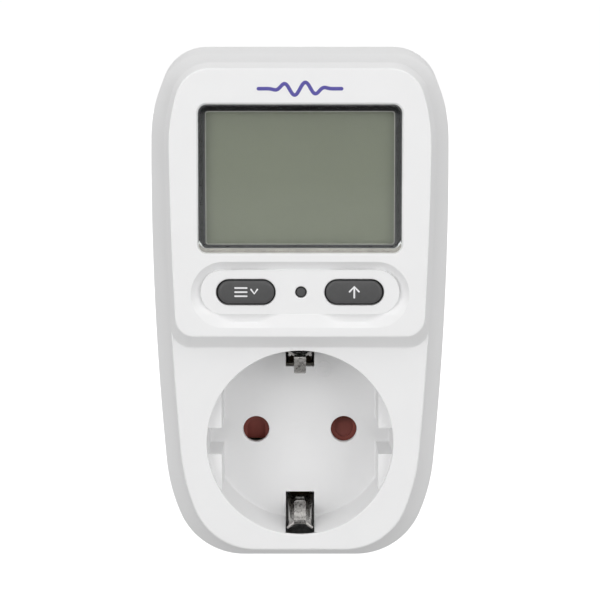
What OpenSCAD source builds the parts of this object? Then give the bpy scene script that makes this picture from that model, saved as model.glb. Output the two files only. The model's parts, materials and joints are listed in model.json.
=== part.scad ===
// Plug-in power meter: a case with a mains plug behind, a socket in front, a display and keys.
// Shapes are drawn in socket coordinates: x to the right, depth d behind the socket's front
// plane (forward is negative), and height z above the socket's axis. on_plug() then moves each
// one so that the origin is the centre of the plug's end face, between its pins.

/* [Case] */
// Height of the case's top above the socket's axis
case_top = 82.5; // [82:0.5:86]
// Half length of the case's straight top edge
case_flat = 19.9; // [18:0.1:21]
// Height of the front face's top edge, where the panel's side would meet the socket's plane
face_top = 79.45; // [79:0.05:80]
// Half length of the front face's straight top edge
face_flat = 18.4; // [17.5:0.1:19]
// Depth of the case behind the socket's front plane
body_depth = 38; // [38:0.5:42]
// Depth of the joint between the two covers
split_depth = 20; // [20:0.5:21]
// Depth at which the front's hollow flank meets the case's side
cove_depth = 12; // [10:0.5:14]
// How far the top edge drops from the covers' joint forward to the hollow flank
rim_drop = 1.3; // [0:0.1:1.5]
// Thickness of the case's walls
wall = 2; // [1.8:0.1:2.2]

/* [Display panel] */
// Height of the panel above the socket's plane
panel_rise = 4; // [3.5:0.5:4]
// How far the panel's sides widen down to the socket's plane
panel_draft = 1.2; // [1:0.1:1.4]
// Height of the step's foot above the socket's axis
step_z = 20.3; // [20.3:0.1:20.6]
// How far the step rises over the panel's height
step_drop = 2.7; // [2.4:0.1:3]
// Width of the display window
window_w = 41.9; // [41.6:0.1:42.6]
// Height of the display window
window_h = 30.5; // [29:0.1:30.8]
// Height of the window's centre above the socket's axis
window_z = 55.65; // [55.4:0.05:56]
// Width of the visible display
lcd_w = 39.2; // [36:0.1:39.4]
// Height of the visible display
lcd_h = 27.6; // [25:0.1:27.8]

/* [Keys] */
// Distance of each long key from the middle
key_x = 11.2; // [10.8:0.1:11.6]
// Height of the keys above the socket's axis
key_z = 32.2; // [31.8:0.1:32.4]
// Width of a long key's hole
key_w = 12.3; // [11.6:0.1:12.6]
// Height of a long key's hole
key_h = 5.4; // [5:0.1:5.6]
// Gap round a long key
key_gap = 0.33; // [0.3:0.01:0.4]
// Radius of the reset key's hole
reset_r = 1.2; // [1.15:0.05:1.3]

/* [Socket and plug] */
// Radius of the socket's well
well_r = 19.55; // [19.4:0.05:19.7]
// Depth of the socket's well and length of the plug's boss
well_depth = 17.5; // [17.5:0.1:17.6]
// Distance between the pins' centres
pin_pitch = 19; // [18.9:0.1:19.1]
// Radius of a plug pin
pin_r = 2.4; // [2.35:0.01:2.4]
// Length of a plug pin
pin_len = 19; // [18.5:0.5:19]
// Radius of a pin hole in the well's floor
pin_hole_r = 2.825; // [2.8:0.005:2.9]
// Distance from the axis to the flat side ledges of the well
ledge_x = 16.5; // [16.4:0.1:17]
// Depth of the side ledges below the rim
ledge_depth = 2.5; // [2:0.1:3]
// Radius of the plug's boss
boss_r = 18.5; // [18.4:0.1:18.6]
// Distance from the axis to the flats on the plug's boss
boss_flat = 16.2; // [16.1:0.1:16.4]
// Width of an earth slot
earth_slot_w = 6.1; // [6.1:0.1:6.3]
// Width of an earth clip
earth_clip_w = 5.5; // [5.3:0.1:5.5]

/* [Hidden] */
$fn = 48;
case_arcs = [[9.8, 69, 6], [36.6, 20.4, 3], [678, 5.86, 3], [38.3, 18, 3], [14.85, 66.74, 6]];
face_arcs = [[8.4, 72.9, 6], [37.7, 17.7, 3], [852, 4.3, 3], [42.8, 17.1, 3], [13.7, 68, 6]];
cove_mid = 0.36;
panel_d = -panel_rise;
plug_d = body_depth + well_depth;
floor_t = 1.6;
floor_back = well_depth + floor_t;
tube_wall = 1.85;
shutter_gap = 0.25;
shutter_t = 2.7;
shutter_r = 12.9;
carrier_d = floor_back + shutter_t + 2 * shutter_gap + 0.1;
carrier_t = 2;
sleeve_back = 37.2;
sleeve_r = 4.4;
flange_t = 0.8;
slot_z = 13.75;
slot_front = 1;
pivot_r = 1.6;
screw_spots = [[-26, 72], [26, 72], [-19.8, -16.2], [19.8, -16.2]];
screw_seat = split_depth + 4;
display_pcb_d = 4.5;
pcb_t = 1.6;
pcb_hw = 22.6;
display_spots = [[-20.4, 27], [20.4, 27], [-20.2, 74.2], [20.2, 74.2]];
main_pcb_d = 24.5;
main_spots = [[-21, 29], [21, 29], [-17.5, 74.5], [17.5, 74.5]];
key_flange_d = panel_d + wall + 0.2;
key_flange_t = 0.8;
key_foot_d = 0.3;
plunger_r = 1;
switch_d = 1.3;
clip_t = 0.7;
clip_pivot = [24.9, 16.5];
clip_root_r = 0.7;
strap_d = 26;
strap_t = 0.8;
arm_z = 16.7;
boss_wall = 2.2;

// ---- shared shapes -------------------------------------------------------------------------

// Right half of an outline: a straight top edge, then arcs that turn clockwise.
function walk(p, heading, arcs, inset, i = 0) =
    i == len(arcs) ? [] :
    let (
        r = arcs[i][0] - inset, turn = arcs[i][1], steps = arcs[i][2],
        c = p + r * [sin(heading), -cos(heading)],
        arc = [for (k = [1:steps])
            let (a = heading - turn * k / steps) c + r * [-sin(a), cos(a)]]
    )
    concat(arc, walk(arc[steps - 1], heading - turn, arcs, inset, i + 1));

// Whole outline, clockwise from the right end of the top edge.
function ring(top, flat, arcs, inset = 0) =
    let (
        start = [flat, top - inset],
        half = concat([start], walk(start, 0, arcs, inset)),
        n = len(half)
    )
    concat(half, [for (k = [n - 1:-1:0]) [-half[k][0], half[k][1]]]);

function case_ring(inset = 0) = ring(case_top, case_flat, case_arcs, inset);
function face_ring(inset = 0) = ring(face_top, face_flat, face_arcs, inset);
function ease(t) = let (k = max(0, min(1, t))) k * k * (3 - 2 * k);
// The case's outline where it meets the flank: lower along the top and the upper corners.
function dipped(r) = [for (p = r) [p[0], p[1] - rim_drop * ease((p[1] - 62) / 19)]];
function between(a, b, t) = [for (k = [0:len(a) - 1]) a[k] * (1 - t) + b[k] * t];

// Closed solid through rings of equal length, each at its own depth.
module loft(rings, depths) {
    n = len(rings[0]);
    m = len(rings);
    points = [for (i = [0:m - 1]) for (p = rings[i]) [p[0], depths[i], p[1]]];
    sides = [for (i = [0:m - 2]) for (j = [0:n - 1])
        let (k = (j + 1) % n) [i * n + j, (i + 1) * n + j, (i + 1) * n + k, i * n + k]];
    front = [for (j = [0:n - 1]) j];
    back = [for (j = [n - 1:-1:0]) (m - 1) * n + j];
    polyhedron(points, concat([front], sides, [back]));
}

module on_plug() {
    translate([0, -plug_d, 0]) children();
}

// A flat shape in x and z, from depth d0 to depth d1.
module slab(d0, d1) {
    translate([0, d1, 0]) rotate([90, 0, 0]) linear_extrude(d1 - d0) children();
}

// A flat shape in depth and z, centred on x = 0 and w wide.
module side_slab(w) {
    rotate([90, 0, 90]) translate([0, 0, -w / 2]) linear_extrude(w) children();
}

// A round bar along the depth.
module rod(d0, d1, r, at = [0, 0]) {
    translate([at[0], d1, at[1]]) rotate([90, 0, 0]) cylinder(h = d1 - d0, r = r);
}

// A block from depth d0 to d1, between two corners in x and z.
module block(d0, d1, low, high) {
    translate([low[0], d0, low[1]]) cube([high[0] - low[0], d1 - d0, high[1] - low[1]]);
}

module stadium(w, h, at = [0, 0]) {
    translate(at) {
        square([w - h, h], center = true);
        for (s = [-1, 1]) translate([s * (w - h) / 2, 0]) circle(r = h / 2);
    }
}

module soft_rect(w, h, r, at = [0, 0]) {
    translate(at) {
        square([w - 2 * r, h], center = true);
        square([w, h - 2 * r], center = true);
        for (s = [-1, 1], t = [-1, 1]) translate([s * (w / 2 - r), t * (h / 2 - r)]) circle(r = r);
    }
}

// Unit direction square to the way from a to b.
function across(a, b) = let (v = b - a) [-v[1], v[0]] / norm(v);

// Direction that keeps a strip's thickness where two of its stretches meet.
function mitre(p, i) =
    let (
        a = across(p[max(i - 1, 0)], p[max(i, 1)]),
        b = across(p[min(i, len(p) - 2)], p[min(i + 1, len(p) - 1)]),
        m = (a + b) / norm(a + b)
    )
    m / (m * a);

// A bent strip of sheet along a path in depth and z.
module strip(path, t) {
    near = [for (i = [0:len(path) - 1]) path[i] + mitre(path, i) * t / 2];
    far = [for (i = [len(path) - 1:-1:0]) path[i] - mitre(path, i) * t / 2];
    polygon(concat(near, far));
}

// An insulated wire that runs in the plane x = at_x.
module wire(at_x, path, r) {
    sides = 8;
    m = len(path);
    points = [for (i = [0:m - 1]) for (k = [0:sides - 1])
        let (a = 360 * k / sides, p = path[i] + mitre(path, i) * r * sin(a))
        [at_x + r * cos(a), p[0], p[1]]];
    skin = [for (i = [0:m - 2]) for (k = [0:sides - 1])
        let (j = (k + 1) % sides)
        [i * sides + k, i * sides + j, (i + 1) * sides + j, (i + 1) * sides + k]];
    start = [for (k = [sides - 1:-1:0]) k];
    end = [for (k = [0:sides - 1]) (m - 1) * sides + k];
    polyhedron(points, concat([start], skin, [end]));
}

// ---- case ----------------------------------------------------------------------------------

// Height of the step's foot on a surface t below the outside.
function step_foot(t) = step_z + t * (norm([panel_rise, step_drop]) - step_drop) / panel_rise;

// Everything in front of the socket's plane and below the panel.
module below_panel(t) {
    reach = 12;
    z = step_foot(t);
    rotate([90, 0, 90]) translate([0, 0, -60]) linear_extrude(120) polygon([
        [t - reach, z + reach * step_drop / panel_rise], [t, z], [t, -50], [t - reach, -50]
    ]);
}

// The front half's skin, t below the outside, back to depth d_back.
module front_skin(t, d_back) {
    difference() {
        loft(
            [
                face_ring(t + panel_draft), face_ring(t),
                between(face_ring(t), dipped(case_ring(t)), cove_mid),
                dipped(case_ring(t)), case_ring(t)
            ],
            [panel_d + t, t, (cove_depth + t) / 2, cove_depth, d_back]
        );
        below_panel(t);
    }
}

module well_tube() {
    rod(1, carrier_d, well_r + tube_wall);
}

module earth_slots(w, z_low, z_high, d0, d1) {
    for (s = [-1, 1]) block(d0, d1,
        [-w / 2, min(s * z_low, s * z_high)], [w / 2, max(s * z_low, s * z_high)]);
}

module side_ledges() {
    notch = 2.8;
    reach = 12;
    intersection() {
        rod(ledge_depth, well_depth + 0.5, well_r + 0.5);
        for (s = [-1, 1], t = [-1, 1])
            block(0, 20, [min(s * ledge_x, s * 21), min(t * notch, t * reach)],
                [max(s * ledge_x, s * 21), max(t * notch, t * reach)]);
    }
}

module front_cover() {
    color("white") on_plug() difference() {
        union() {
            difference() {
                front_skin(0, split_depth);
                difference() {
                    front_skin(wall, split_depth + 1);
                    for (p = screw_spots) rod(-1, split_depth + 2, 3, p);
                    for (p = display_spots) rod(-5, display_pcb_d, 2.1, p);
                }
            }
            well_tube();
            slab(panel_d + 1, panel_d + 2.8)
                soft_rect(window_w + 3.6, window_h + 3.4, 1.5, [0, window_z]);
        }
        rod(-1, well_depth, well_r);
        rod(floor_back, carrier_d + 1, well_r);
        for (s = [-1, 1]) rod(well_depth - 1, floor_back + 1, pin_hole_r, [s * pin_pitch / 2, 0]);
        earth_slots(earth_slot_w, slot_z, 22.5, slot_front, carrier_d + 1);
        slab(panel_d - 1, panel_d + 1.4)
            soft_rect(window_w + 0.4, window_h + 0.4, 2, [0, window_z]);
        slab(panel_d + 1.2, panel_d + 4) soft_rect(lcd_w + 1.8, lcd_h + 1.7, 1, [0, window_z]);
        slab(panel_d - 1, panel_d + 0.35) stadium(45, 13.6, [0, key_z - 0.4]);
        for (s = [-1, 1]) slab(panel_d, panel_d + wall + 1) stadium(key_w, key_h, [s * key_x, key_z]);
        rod(panel_d, panel_d + wall + 1, reset_r, [0.2, key_z]);
        for (p = screw_spots) rod(split_depth - 12, split_depth + 1, 1.3, p);
        for (p = display_spots) rod(0.3, display_pcb_d + 1, 0.8, p);
    }
    color("white") on_plug() side_ledges();
    color("white") on_plug() rod(floor_back - 0.4, carrier_d - 0.1, pivot_r);
}

module boss_shape(r, flat, rib) {
    intersection() {
        circle(r = r);
        union() {
            square([2 * flat, 3 * r], center = true);
            square([3 * r, 2 * rib], center = true);
        }
    }
}

module back_cover() {
    edge = 2.5;
    color("white") on_plug() difference() {
        union() {
            difference() {
                loft([case_ring(), case_ring(0.4), case_ring(1.1), case_ring(edge)],
                    [split_depth, body_depth - edge, body_depth - edge * 0.4, body_depth]);
                difference() {
                    loft([case_ring(wall), case_ring(wall + 0.4)],
                        [split_depth - 1, body_depth - wall]);
                    for (p = screw_spots) rod(split_depth, body_depth, 3.6, p);
                    for (p = main_spots) rod(main_pcb_d + pcb_t, body_depth, 2.4, p);
                }
            }
            slab(body_depth - 1, plug_d) boss_shape(boss_r, boss_flat, 2.4);
        }
        slab(body_depth - 2 * wall, plug_d - boss_wall) boss_shape(16.2, 14, 1);
        earth_slots(earth_slot_w, 15.4, 18.2, body_depth - 2 * wall, body_depth + 1);
        earth_slots(earth_slot_w, 15.4, 20, body_depth, plug_d + 1);
        for (s = [-1, 1]) rod(plug_d - 4, plug_d + 1, neck_r, [s * pin_pitch / 2, 0]);
        for (p = screw_spots) {
            rod(screw_seat, body_depth + 1, 2.9, p);
            rod(split_depth - 1, screw_seat + 1, 1.7, p);
        }
        for (p = main_spots) rod(main_pcb_d, main_pcb_d + 7, 0.8, p);
        slab(body_depth - 0.25, body_depth + 1) soft_rect(38, 30, 1.5, [0, 52]);
    }
}

module rating_label() {
    color("gainsboro") on_plug() slab(body_depth - 0.25, body_depth - 0.1)
        soft_rect(37.4, 29.4, 1.3, [0, 52]);
}

module case_screws() {
    color("silver") on_plug() for (p = screw_spots) difference() {
        union() {
            rod(split_depth - 11, screw_seat + 0.1, 1.25, p);
            rod(screw_seat, screw_seat + 2.2, 2.6, p);
        }
        for (a = [0, 90]) translate([p[0], 0, p[1]]) rotate([0, a, 0])
            block(screw_seat + 1.2, screw_seat + 3, [-1.5, -0.35], [1.5, 0.35]);
    }
}

// ---- display and keys ----------------------------------------------------------------------

module display_lens() {
    color("lightcyan", 0.4) on_plug() slab(panel_d + 0.05, panel_d + 1.4)
        soft_rect(window_w, window_h, 1.8, [0, window_z]);
}

module lcd_frame() {
    d0 = panel_d + 2.8;
    color("black") on_plug() difference() {
        slab(d0, display_pcb_d) soft_rect(window_w + 3.4, window_h + 2.2, 1, [0, window_z]);
        slab(d0 - 1, d0 + 1) soft_rect(lcd_w, lcd_h, 0.6, [0, window_z]);
        slab(d0 + 0.6, display_pcb_d + 1) soft_rect(lcd_w + 3.9, lcd_h + 3.7, 0.1, [0, window_z]);
    }
}

module lcd_glass() {
    d0 = panel_d + 3.4;
    color("darkkhaki") on_plug() slab(d0, d0 + 2.8)
        translate([0, window_z]) square([lcd_w + 3.6, lcd_h + 3.4], center = true);
}

module lcd_contacts() {
    color("dimgray") on_plug() for (s = [-1, 1])
        slab(panel_d + 6.2, display_pcb_d)
            translate([0, window_z + s * 14.4]) square([40, 1.6], center = true);
}

module display_pcb() {
    color("green") on_plug() difference() {
        slab(display_pcb_d, display_pcb_d + pcb_t) polygon([
            [-pcb_hw, 24.4], [pcb_hw, 24.4], [pcb_hw, 72.6], [pcb_hw - 2, 75.4],
            [-pcb_hw + 2, 75.4], [-pcb_hw, 72.6]
        ]);
        for (p = display_spots) rod(0, 10, 1.1, p);
    }
}

// A dome of resin over the display's bare chip.
module display_chip() {
    blob_r = 5.5;
    rise = 1.6;
    dome = [for (a = [0:15:90]) [blob_r * cos(a), rise * sin(a)]];
    color("black") on_plug() translate([-8, display_pcb_d + pcb_t, 58]) rotate([-90, 0, 0])
        rotate_extrude() polygon(concat([[0, 0]], dome));
}

module crystal() {
    d = display_pcb_d + pcb_t;
    color("silver") on_plug() translate([8, d + 1.1, 60]) rotate([0, 90, 0]) {
        cylinder(h = 6, r = 1.1);
        for (s = [-1, 1]) translate([0.4 * s, 0, -1.6]) cylinder(h = 1.8, r = 0.18);
    }
}

module key_switches() {
    half = 2.9;
    color("black") on_plug() for (x = [-key_x, 0.2, key_x]) difference() {
        block(switch_d, display_pcb_d, [x - half, key_z - half], [x + half, key_z + half]);
        rod(switch_d - 1, switch_d + 2.4, plunger_r + 0.3, [x, key_z]);
    }
}

module key(x, w, h, d_front) {
    slab(d_front, key_flange_d + 0.3) stadium(w, h, [x, key_z]);
    slab(key_flange_d, key_flange_d + key_flange_t) stadium(w + 1.9, h + 1.9, [x, key_z]);
    rod(key_flange_d + 0.4, key_foot_d, 1.5, [x, key_z]);
}

module mode_key() {
    color("dimgray") on_plug() key(-key_x, key_w - 2 * key_gap, key_h - 2 * key_gap, panel_d - 0.1);
}

module up_key() {
    color("dimgray") on_plug() key(key_x, key_w - 2 * key_gap, key_h - 2 * key_gap, panel_d - 0.1);
}

module reset_key() {
    color("dimgray") on_plug() {
        rod(panel_d + 0.9, key_foot_d, reset_r - 0.25, [0.2, key_z]);
        rod(key_flange_d, key_flange_d + key_flange_t, reset_r + 0.6, [0.2, key_z]);
    }
}

module plunger(x) {
    color("ivory") on_plug() rod(key_foot_d, switch_d + 1.2, plunger_r, [x, key_z]);
}

module mode_plunger() {
    plunger(-key_x);
}

module up_plunger() {
    plunger(key_x);
}

module reset_plunger() {
    plunger(0.2);
}

cell_r = 5.8;
cell_t = 5.4;
battery_d = display_pcb_d + pcb_t + 0.4 + cell_r;

module backup_battery() {
    color("limegreen") on_plug() for (i = [-1:1])
        translate([i * cell_t - (cell_t - 0.1) / 2, battery_d, 43]) rotate([0, 90, 0])
            cylinder(h = cell_t - 0.1, r = cell_r);
}

module battery_tabs() {
    end = 1.5 * cell_t;
    color("silver") on_plug() for (s = [-1, 1]) {
        block(display_pcb_d + pcb_t, battery_d + 2,
            [min(s * end, s * (end + 0.3)), 41.5], [max(s * end, s * (end + 0.3)), 44.5]);
    }
}

// ---- socket --------------------------------------------------------------------------------

// The rotor hides both pin holes. Each arm has a round-ended ramp that faces the way it turns,
// so two pins pushed in together drive it round.
module shutter() {
    d0 = floor_back + shutter_gap;
    edge = 2.5;
    ramp_r = 1.95;
    ramp_x = -pin_pitch / 2;
    color("sienna") on_plug() difference() {
        slab(d0, d0 + shutter_t) intersection() {
            circle(r = shutter_r);
            union() {
                circle(r = 4.8);
                for (a = [0, 180]) rotate(a) translate([-shutter_r, -edge]) square([shutter_r, edge + 4.4]);
            }
        }
        rod(d0 - 1, d0 + shutter_t + 1, pivot_r + 0.08);
        for (a = [0, 180]) rotate([0, a, 0]) intersection() {
            translate([ramp_x, 0, 0]) side_slab(6)
                polygon([[d0 - 1, 3], [d0 + 0.5, 3], [d0 + 1.9, -edge - 1], [d0 - 1, -edge - 1]]);
            union() {
                rod(d0 - 1, d0 + 2.4, ramp_r, [ramp_x, 0]);
                block(d0 - 1, d0 + 2.4, [ramp_x - ramp_r, -edge - 1], [ramp_x + ramp_r, 0]);
            }
        }
    }
}

module shutter_spring() {
    d0 = floor_back + shutter_gap + shutter_t - 0.5;
    color("silver") on_plug() difference() {
        rod(d0 + 0.55, d0 + 0.8, 3.4);
        rod(d0, d0 + 1, 2.6);
        block(d0, d0 + 1, [0, -0.6], [5, 0.6]);
    }
}

module contact_carrier() {
    color("cornsilk") on_plug() difference() {
        union() {
            rod(carrier_d, carrier_d + carrier_t, well_r + tube_wall - 0.2);
            for (s = [-1, 1]) rod(carrier_d + 1, sleeve_back, sleeve_r, [s * pin_pitch / 2, 0]);
        }
        for (s = [-1, 1]) {
            rod(carrier_d - 1, carrier_d + carrier_t, 3.3, [s * pin_pitch / 2, 0]);
            rod(carrier_d + carrier_t - 0.2, sleeve_back + 1, sleeve_r - 0.8, [s * pin_pitch / 2, 0]);
        }
        earth_slots(earth_slot_w, slot_z, 22.5, carrier_d - 1, carrier_d + carrier_t + 1);
    }
}

// A sprung tube that grips an inserted pin, with a flange on the sleeve's end.
module contact(x) {
    mouth = carrier_d + carrier_t + 0.9;
    color("gold") on_plug() difference() {
        union() {
            rod(mouth, sleeve_back + 0.1, 3.4, [x, 0]);
            rod(sleeve_back, sleeve_back + flange_t, sleeve_r, [x, 0]);
        }
        rod(mouth - 1, sleeve_back - 0.3, pin_r - 0.05, [x, 0]);
        for (a = [45, 135]) translate([x, 0, 0]) rotate([0, a, 0])
            block(mouth - 1, sleeve_back - 3, [-5, -0.35], [5, 0.35]);
    }
}

module line_contact() {
    contact(pin_pitch / 2);
}

module neutral_contact() {
    contact(-pin_pitch / 2);
}

// A sprung earth clip: two legs run forward beside a window, and a tongue curls back and
// inwards from the bar that joins them, so a plug that slides in pushes it outwards.
module earth_clip() {
    leg = [clip_pivot, [20, 16.9], [8, 18.1], [5.2, 18.3], [4.1, 17.9], [3.8, 17.2]];
    tongue = [[4.1, 17.9], [3.8, 17.2], [4.5, 16.2], [6.8, 14], [8, 14.2]];
    difference() {
        side_slab(earth_clip_w) strip(leg, clip_t);
        block(5.4, 21.5, [-earth_clip_w / 2 + 0.95, 15], [earth_clip_w / 2 - 0.95, 20]);
    }
    side_slab(2.35) strip(tongue, clip_t * 0.9);
    side_slab(earth_clip_w) translate(clip_pivot) circle(r = clip_root_r);
}

module earth_clip_top() {
    color("silver") on_plug() earth_clip();
}

module earth_clip_bottom() {
    color("silver") on_plug() mirror([0, 0, 1]) earth_clip();
}

module earth_strap() {
    color("gold") on_plug() difference() {
        block(strap_d, strap_d + strap_t, [-2.4, -18], [2.4, 18]);
        for (s = [-1, 1]) rod(strap_d - 1, strap_d + 2, 1.25, [0, s * 12.5]);
    }
}

// One arm of the plug's earth: a foot on the strap, then a strip along the side of the boss.
module plug_earth() {
    foot_d = strap_d + 1.5 * strap_t;
    path = [[foot_d, 10.4], [foot_d, arm_z], [body_depth - 1, arm_z], [body_depth + 2, arm_z],
        [plug_d - 8, arm_z + 0.9], [plug_d - 1.5, arm_z]];
    difference() {
        side_slab(5.2) strip(path, strap_t);
        rod(strap_d, strap_d + 3, 1.25, [0, 12.5]);
    }
}

module plug_earth_top() {
    color("silver") on_plug() plug_earth();
}

module plug_earth_bottom() {
    color("silver") on_plug() mirror([0, 0, 1]) plug_earth();
}

module earth_rivets() {
    color("gold") on_plug() for (s = [-1, 1]) {
        rod(strap_d - 0.5, strap_d + 2 * strap_t + 0.5, 1.2, [0, s * 12.5]);
        rod(strap_d - 0.5, strap_d, 2, [0, s * 12.5]);
        rod(strap_d + 2 * strap_t, strap_d + 2 * strap_t + 0.5, 2, [0, s * 12.5]);
    }
}

// ---- plug and power path -------------------------------------------------------------------

pin_back = plug_d - 5.2;

neck_r = pin_r + 0.8;

// A plug pin: a collar inside the boss, a neck through its wall and a rounded tip.
module pin(x) {
    collar_r = 3.6;
    tip = 1.6;
    round_tip = [for (a = [0:15:90]) [pin_r - tip + tip * cos(a), pin_len - tip + tip * sin(a)]];
    color("silver") on_plug() translate([x, plug_d, 0]) rotate([-90, 0, 0]) rotate_extrude()
        polygon(concat(
            [[0, -5.2], [collar_r, -5.2], [collar_r, -boss_wall], [neck_r, -boss_wall],
                [neck_r, 0], [pin_r, 0]],
            round_tip, [[0, pin_len]]
        ));
}

module line_pin() {
    pin(pin_pitch / 2);
}

module neutral_pin() {
    pin(-pin_pitch / 2);
}

link_d = sleeve_back + flange_t;
end_len = 3;

module neutral_link() {
    x = -pin_pitch / 2;
    color("gold") on_plug() block(link_d, pin_back, [x - 2, -0.5], [x + 2, 0.5]);
}

module shunt_ends() {
    x = pin_pitch / 2;
    color("peru") on_plug() {
        block(link_d, link_d + end_len, [x - 2, -0.5], [x + 2, 0.5]);
        block(pin_back - end_len, pin_back, [x - 2, -0.5], [x + 2, 0.5]);
    }
}

module shunt_resistor() {
    x = pin_pitch / 2;
    color("tan") on_plug()
        block(link_d + end_len, pin_back - end_len, [x - 1.6, -0.35], [x + 1.6, 0.35]);
}

wire_path = [[49, 1.4], [46.5, 4.2], [42, 7.6], [37.6, 9.4], [34, 13.6], [31.6, 20], [30.2, 26],
    [29.2, 29.6], [27.6, 31], [main_pcb_d + pcb_t, 31]];

module line_wire() {
    color("saddlebrown") on_plug() wire(pin_pitch / 2, wire_path, 0.8);
}

module neutral_wire() {
    color("royalblue") on_plug() wire(-pin_pitch / 2, wire_path, 0.8);
}

// ---- metering board ------------------------------------------------------------------------

module main_pcb() {
    color("green") on_plug() difference() {
        slab(main_pcb_d, main_pcb_d + pcb_t) polygon([
            [-25.6, 24.8], [25.6, 24.8], [25.6, 67], [21.4, 67], [21.4, 77.6],
            [-21.4, 77.6], [-21.4, 67], [-25.6, 67]
        ]);
        for (p = main_spots) rod(main_pcb_d - 1, main_pcb_d + 3, 1.1, p);
    }
}

module pcb_screw(d_seat, way, p) {
    far = d_seat - way * 4.2;
    rod(min(far, d_seat), max(far, d_seat), 0.78, p);
    rod(min(d_seat, d_seat + way * 1.3), max(d_seat, d_seat + way * 1.3), 1.8, p);
}

module pcb_screws() {
    color("silver") on_plug() {
        for (p = display_spots) pcb_screw(display_pcb_d + pcb_t, 1, p);
        for (p = main_spots) pcb_screw(main_pcb_d, -1, p);
    }
}

module metering_chip() {
    d = main_pcb_d + pcb_t;
    color("black") on_plug() {
        block(d + 0.2, d + 2.3, [-3.7, 44], [3.7, 59.4]);
        for (s = [-1, 1], i = [0:11]) {
            z = 45 + i * 1.22;
            block(d, d + 0.5, [min(s * 3.6, s * 5.2), z - 0.2], [max(s * 3.6, s * 5.2), z + 0.2]);
        }
    }
}

module film_capacitor() {
    color("yellow") on_plug() block(main_pcb_d - 12.5, main_pcb_d, [2, 54], [20, 62.5]);
}

module smoothing_capacitor() {
    color("navy") on_plug() {
        rod(main_pcb_d - 12, main_pcb_d, 4, [-14, 64]);
        rod(main_pcb_d - 12.4, main_pcb_d - 11.5, 3.4, [-14, 64]);
    }
}

module varistor() {
    color("steelblue") on_plug() {
        translate([-14, main_pcb_d - 6.5, 50]) cylinder(h = 4, r = 5, center = true);
        for (s = [-1, 1]) rod(main_pcb_d - 4, main_pcb_d, 0.35, [-14 + 2.5 * s, 50]);
    }
}

module dropper_resistors() {
    color("cornflowerblue") on_plug() for (i = [0:2])
        translate([4, main_pcb_d - 1.9, 32 + 5 * i]) rotate([0, 90, 0]) {
            cylinder(h = 7, r = 1.3);
            for (z = [0, 5.6]) translate([0, 0, z]) cylinder(h = 1.4, r = 1.55);
        }
}

module diodes() {
    color("black") on_plug() for (i = [0:3])
        translate([-17, main_pcb_d - 1.5, 30 + 3.6 * i]) rotate([0, 90, 0]) cylinder(h = 5, r = 1.3);
}

module ribbon_cable() {
    a = display_pcb_d + pcb_t;
    path = [[a, 70], [a + 3.6, 70], [a + 6.4, 68.4], [main_pcb_d - 6, 68.4],
        [main_pcb_d - 3.4, 70], [main_pcb_d, 70]];
    color("lightgray") on_plug() side_slab(11) strip(path, 0.9);
}

front_cover();
back_cover();
display_lens();
lcd_frame();
lcd_glass();
lcd_contacts();
display_pcb();
display_chip();
crystal();
key_switches();
mode_key();
up_key();
reset_key();
mode_plunger();
up_plunger();
reset_plunger();
backup_battery();
battery_tabs();
shutter();
shutter_spring();
contact_carrier();
line_contact();
neutral_contact();
earth_clip_top();
earth_clip_bottom();
earth_strap();
earth_rivets();
plug_earth_top();
plug_earth_bottom();
line_pin();
neutral_pin();
shunt_resistor();
shunt_ends();
neutral_link();
line_wire();
neutral_wire();
main_pcb();
metering_chip();
film_capacitor();
smoothing_capacitor();
varistor();
dropper_resistors();
diodes();
ribbon_cable();
pcb_screws();
case_screws();
rating_label();
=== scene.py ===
"""Looks of the plug-in power meter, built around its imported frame.

Lengths are millimetres in socket coordinates: x to the right, depth d behind the socket's front
plane (forward is negative) and height z above the socket's axis. at() turns them into metres in
the row frame. Outlines are (x, z) points, clockwise from the top centre as seen from the front.
"""
import json
import math

import bmesh
import bpy
import numpy as np
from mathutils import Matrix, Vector
from mathutils.geometry import delaunay_2d_cdt


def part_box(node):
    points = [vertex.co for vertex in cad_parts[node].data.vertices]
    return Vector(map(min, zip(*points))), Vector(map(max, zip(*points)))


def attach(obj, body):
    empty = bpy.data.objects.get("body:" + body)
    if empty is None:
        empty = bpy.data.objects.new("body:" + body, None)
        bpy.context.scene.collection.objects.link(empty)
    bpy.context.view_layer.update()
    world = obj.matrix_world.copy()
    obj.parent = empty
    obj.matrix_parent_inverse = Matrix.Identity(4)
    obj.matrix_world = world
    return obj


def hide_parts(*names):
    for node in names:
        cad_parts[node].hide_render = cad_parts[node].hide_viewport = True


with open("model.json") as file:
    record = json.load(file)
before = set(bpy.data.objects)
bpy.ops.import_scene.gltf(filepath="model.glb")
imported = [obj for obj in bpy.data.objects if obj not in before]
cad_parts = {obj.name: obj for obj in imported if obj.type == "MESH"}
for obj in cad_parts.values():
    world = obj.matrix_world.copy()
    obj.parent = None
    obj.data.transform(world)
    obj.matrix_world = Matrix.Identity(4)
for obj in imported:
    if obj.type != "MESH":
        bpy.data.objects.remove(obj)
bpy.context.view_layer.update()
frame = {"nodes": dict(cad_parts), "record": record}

# ---- driving dimensions ---------------------------------------------------------------------

MM = 0.001
PANEL_RISE = 4.0
PLUG_D = -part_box("front_cover")[0].y / MM - PANEL_RISE
SPLIT_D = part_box("front_cover")[0].y / MM + PLUG_D + 24.0
BACK_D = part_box("rating_label")[1].y / MM + PLUG_D + 0.1
COVE_D = 12.0
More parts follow.
